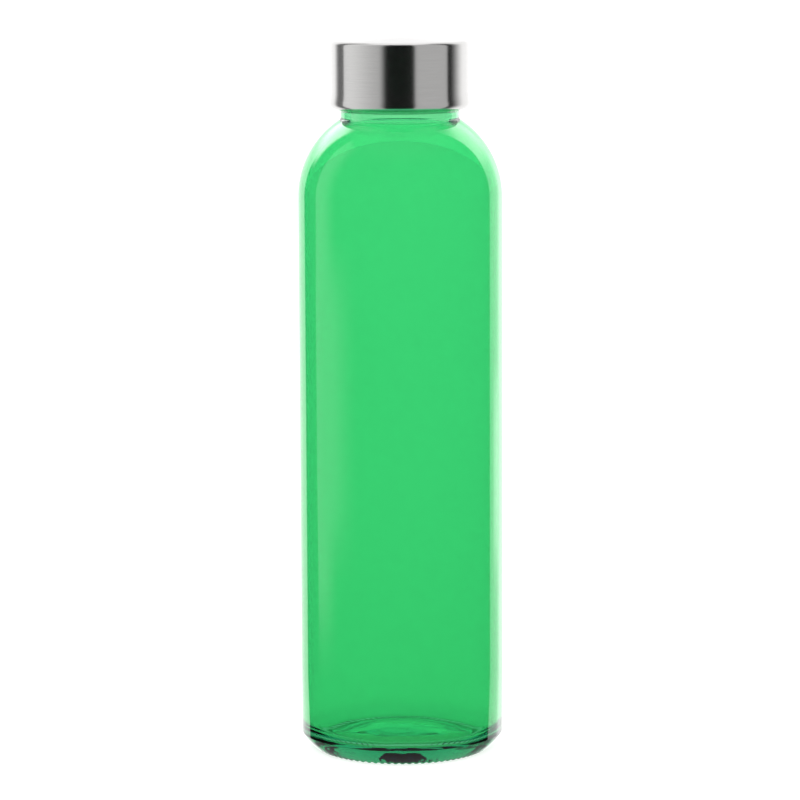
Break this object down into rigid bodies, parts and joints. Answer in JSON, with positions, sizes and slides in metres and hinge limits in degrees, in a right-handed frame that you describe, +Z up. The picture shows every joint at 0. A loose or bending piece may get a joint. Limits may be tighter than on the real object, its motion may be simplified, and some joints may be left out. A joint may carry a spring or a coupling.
{
  "type": "water bottle",
  "caption": "Cylindrical green glass water bottle with a domed shoulder, a threaded neck and a brushed steel screw cap over a plastic liner and silicone seal.",
  "frame": {"origin": "centre of the base, on the surface that the bottle stands on", "axes": "+Z up along the bottle's axis, from the base to the cap; +X and +Y across it"},
  "size_m": [0.065, 0.065, 0.2286],
  "materials": {
    "green_glass": "clear soda-lime glass with a see-through green lacquer",
    "brushed_steel": "stainless steel brushed round the axis",
    "liner_plastic": "moulded natural polypropylene",
    "seal_silicone": "translucent white silicone"
  },
  "bodies": {
    "bottle": {"glass_bottle": "green_glass"},
    "seal": {"seal_ring": "seal_silicone"},
    "cap": {"cap_shell": "brushed_steel", "cap_liner": "liner_plastic"}
  },
  "joints": [
    {"name": "cap_rise", "type": "slide", "parent": "bottle", "child": "seal", "axis": [0, 0, 1], "range_m": [0, 0.0212]},
    {"name": "cap_turn", "type": "hinge", "parent": "seal", "child": "cap", "pos_m": [0, 0, 0.216], "axis": [0, 0, 1], "range_deg": [0, 1800]}
  ],
  "couplings": [
    {"joint": "cap_rise", "follows": "cap_turn", "m_per_rad": 0.00066845}
  ]
}
